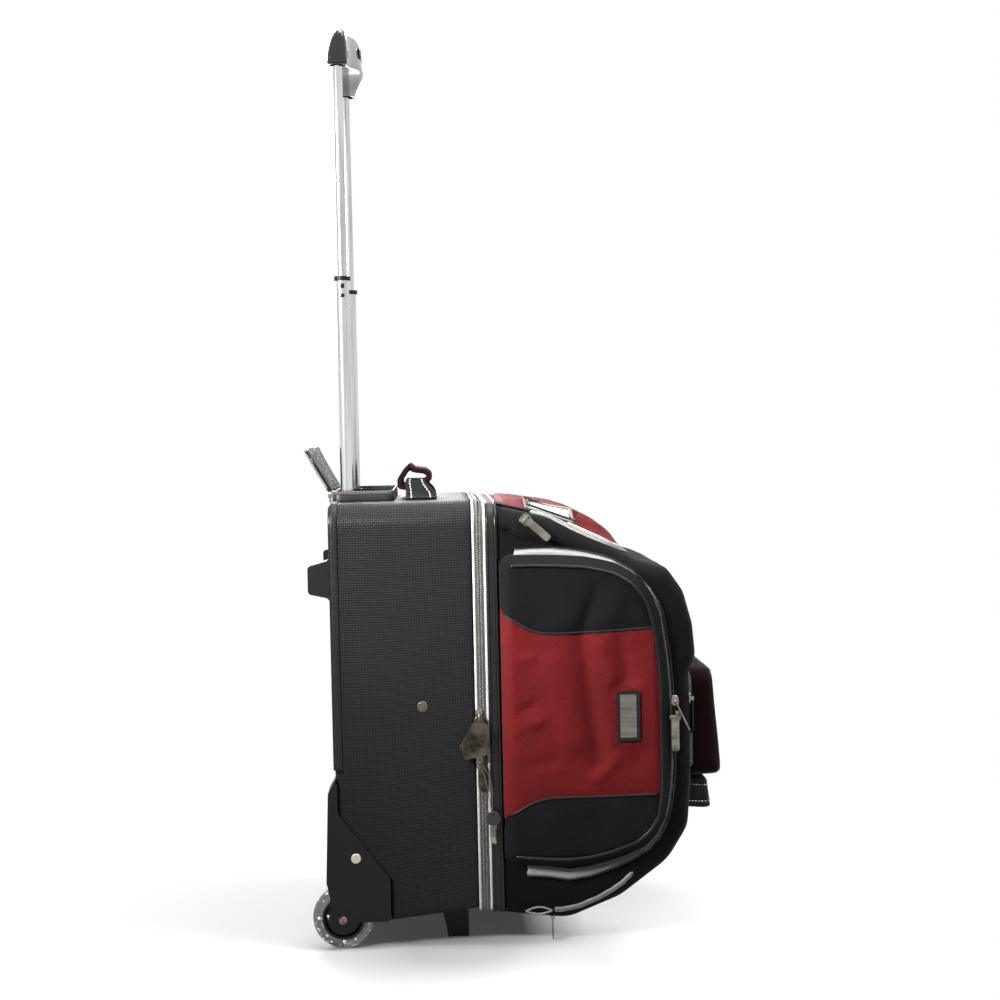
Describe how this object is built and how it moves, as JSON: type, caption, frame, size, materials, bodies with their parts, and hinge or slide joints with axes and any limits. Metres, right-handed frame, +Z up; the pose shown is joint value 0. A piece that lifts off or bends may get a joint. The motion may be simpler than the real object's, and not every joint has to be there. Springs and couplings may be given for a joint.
{
  "type": "bowling ball bag",
  "caption": "Two-ball bowling bag on wheels: stiff rear shell, zipped swinging lid with pockets, telescopic handle and padded carry handle.",
  "frame": {"origin": "on the floor under the middle of the whole bag", "axes": "+Z up, +X from the wheels to the bag's front, +Y the bag's left"},
  "size_m": [0.4792, 0.4008, 1.0915],
  "materials": {
    "rear_shell": "satin",
    "back_liner": "matte",
    "ball_cup_lower": "matte",
    "ball_cup_upper": "matte",
    "cup_divider": "matte",
    "shell_fasteners": "worn",
    "shell_sliders": "worn",
    "wheel_guard_right": "moulded",
    "wheel_guard_left": "moulded",
    "axles": "plain",
    "axle_spacers": "plain",
    "feet": "moulded",
    "bumpers": "moulded",
    "outer_tubes": "plain",
    "outer_tube_bushes": "moulded",
    "tube_base": "moulded",
    "garage_wall": "satin",
    "garage_zipper": "woven",
    "top_handle_strap": "webbing",
    "top_handle_grip": "webbing",
    "rear_zipper_tape": "woven",
    "lid_hinge_strip": "satin",
    "lower_tubes": "polished",
    "lower_tube_fittings": "moulded",
    "upper_tubes": "polished",
    "upper_tube_plugs": "moulded",
    "grip_body": "gloss",
    "grip_insert": "silver",
    "button_spring": "plain",
    "release_button": "gloss",
    "release_link": "plain",
    "wheel_hub_right": "moulded",
    "tyre_right": "clear glitter",
    "bearings_right": "plain",
    "wheel_hub_left": "moulded",
    "tyre_left": "clear glitter",
    "bearings_left": "plain",
    "lid_shell": "satin",
    "front_zipper_tape": "woven",
    "front_handle": "webbing",
    "lid_sliders": "worn",
    "side_slider_right": "worn",
    "side_slider_left": "worn",
    "side_pocket_right": "satin",
    "badge_frame": "matte",
    "badge_face": "brushed",
    "side_pocket_left": "satin",
    "front_pocket": "satin",
    "top_pocket_flap": "matte",
    "id_window_frame": "woven",
    "id_card": "matte",
    "handle_cover": "satin",
    "side_pull_right": "worn",
    "side_pull_left": "worn",
    "top_pull": "worn",
    "front_pull": "worn",
    "base_pull": "worn",
    "garage_pull": "worn",
    "padlock": "tarnished",
    "key": "tarnished"
  },
  "bodies": {
    "shell": {"rear_shell": "rear_shell", "back_liner": "back_liner", "ball_cup_lower": "ball_cup_lower", "ball_cup_upper": "ball_cup_upper", "cup_divider": "cup_divider", "shell_fasteners": "shell_fasteners", "shell_sliders": "shell_sliders", "wheel_guard_right": "wheel_guard_right", "wheel_guard_left": "wheel_guard_left", "axles": "axles", "axle_spacers": "axle_spacers", "feet": "feet", "bumpers": "bumpers", "outer_tubes": "outer_tubes", "outer_tube_bushes": "outer_tube_bushes", "tube_base": "tube_base", "garage_wall": "garage_wall", "garage_zipper": "garage_zipper", "top_handle_strap": "top_handle_strap", "top_handle_grip": "top_handle_grip", "rear_zipper_tape": "rear_zipper_tape", "lid_hinge_strip": "lid_hinge_strip"},
    "lower_stage": {"lower_tubes": "lower_tubes", "lower_tube_fittings": "lower_tube_fittings"},
    "upper_stage": {"upper_tubes": "upper_tubes", "upper_tube_plugs": "upper_tube_plugs", "grip_body": "grip_body", "grip_insert": "grip_insert", "button_spring": "button_spring"},
    "release": {"release_button": "release_button", "release_link": "release_link"},
    "wheel_right": {"wheel_hub_right": "wheel_hub_right", "tyre_right": "tyre_right", "bearings_right": "bearings_right"},
    "wheel_left": {"wheel_hub_left": "wheel_hub_left", "tyre_left": "tyre_left", "bearings_left": "bearings_left"},
    "lid": {"lid_shell": "lid_shell", "front_zipper_tape": "front_zipper_tape", "front_handle": "front_handle", "lid_sliders": "lid_sliders", "side_slider_right": "side_slider_right", "side_slider_left": "side_slider_left"},
    "pocket_right": {"side_pocket_right": "side_pocket_right", "badge_frame": "badge_frame", "badge_face": "badge_face"},
    "pocket_left": {"side_pocket_left": "side_pocket_left"},
    "front_pocket_flap": {"front_pocket": "front_pocket"},
    "top_pocket": {"top_pocket_flap": "top_pocket_flap", "id_window_frame": "id_window_frame", "id_card": "id_card"},
    "garage_cover": {"handle_cover": "handle_cover"},
    "side_pull_right": {"side_pull_right": "side_pull_right"},
    "side_pull_left": {"side_pull_left": "side_pull_left"},
    "top_pull": {"top_pull": "top_pull"},
    "front_pull": {"front_pull": "front_pull"},
    "base_pull": {"base_pull": "base_pull"},
    "garage_pull": {"garage_pull": "garage_pull"},
    "padlock": {"padlock": "padlock"},
    "key": {"key": "key"}
  },
  "joints": [
    {"name": "lower_stage_slide", "type": "slide", "parent": "shell", "child": "lower_stage", "axis": [0, 0, 1], "range_m": [-0.252, 0]},
    {"name": "upper_stage_slide", "type": "slide", "parent": "lower_stage", "child": "upper_stage", "axis": [0, 0, 1], "range_m": [-0.255, 0]},
    {"name": "release_button_press", "type": "slide", "parent": "upper_stage", "child": "release", "axis": [0, 0, -1], "range_m": [0, 0.003], "stiffness_N_per_m": 700, "springref_m": -0.005, "deforming": ["button_spring"]},
    {"name": "wheel_right_spin", "type": "hinge", "parent": "shell", "child": "wheel_right", "pos_m": [-0.2015, -0.164, 0.036], "axis": [0, 1, 0], "continuous": true},
    {"name": "wheel_left_spin", "type": "hinge", "parent": "shell", "child": "wheel_left", "pos_m": [-0.2015, 0.164, 0.036], "axis": [0, 1, 0], "continuous": true},
    {"name": "lid_swing", "type": "hinge", "parent": "shell", "child": "lid", "pos_m": [-0.035, 0.182, 0.26], "axis": [0, 0, 1], "range_deg": [0, 110]},
    {"name": "pocket_right_open", "type": "hinge", "parent": "lid", "child": "pocket_right", "pos_m": [-0.013, -0.1802, 0.272], "axis": [0, 0, -1], "range_deg": [0, 60]},
    {"name": "pocket_left_open", "type": "hinge", "parent": "lid", "child": "pocket_left", "pos_m": [-0.013, 0.1802, 0.272], "axis": [0, 0, 1], "range_deg": [0, 60]},
    {"name": "front_pocket_open", "type": "hinge", "parent": "lid", "child": "front_pocket_flap", "pos_m": [0.2082, 0, 0.194], "axis": [0, 1, 0], "range_deg": [0, 35]},
    {"name": "top_pocket_open", "type": "hinge", "parent": "lid", "child": "top_pocket", "pos_m": [-0.014, 0, 0.513], "axis": [0, -1, 0], "range_deg": [0, 60]},
    {"name": "garage_cover_fold", "type": "hinge", "parent": "shell", "child": "garage_cover", "pos_m": [-0.2069, 0, 0.5305], "axis": [0, 1, 0], "range_deg": [-115, 30]},
    {"name": "side_pull_right_swing", "type": "hinge", "parent": "lid", "child": "side_pull_right", "pos_m": [0.1893, -0.1845, 0.263], "axis": [-1, 0, 0], "range_deg": [0, 150]},
    {"name": "side_pull_left_swing", "type": "hinge", "parent": "lid", "child": "side_pull_left", "pos_m": [0.1893, 0.1845, 0.263], "axis": [1, 0, 0], "range_deg": [0, 150]},
    {"name": "top_pull_swing", "type": "hinge", "parent": "lid", "child": "top_pull", "pos_m": [0.02, -0.18219, 0.497], "axis": [-0.682, -0.209, -0.7009], "range_deg": [0, 150]},
    {"name": "front_pull_swing", "type": "hinge", "parent": "lid", "child": "front_pull", "pos_m": [0.2125, -0.164, 0.282], "axis": [0, -1, 0], "range_deg": [0, 150]},
    {"name": "base_pull_swing", "type": "hinge", "parent": "lid", "child": "base_pull", "pos_m": [0.043, -0.166, 0.0285], "axis": [0, 1, 0], "range_deg": [-75, 75]},
    {"name": "garage_pull_swing", "type": "hinge", "parent": "shell", "child": "garage_pull", "pos_m": [-0.209, -0.113, 0.5268], "axis": [0, 1, 0], "range_deg": [0, 150]},
    {"name": "padlock_swing", "type": "hinge", "parent": "shell", "child": "padlock", "pos_m": [-0.0391, -0.188, 0.27], "axis": [-1, 0, 0], "range_deg": [0, 80]},
    {"name": "key_swing", "type": "hinge", "parent": "shell", "child": "key", "pos_m": [-0.0391, -0.188, 0.216], "axis": [-1, 0, 0], "range_deg": [0, 80]}
  ]
}
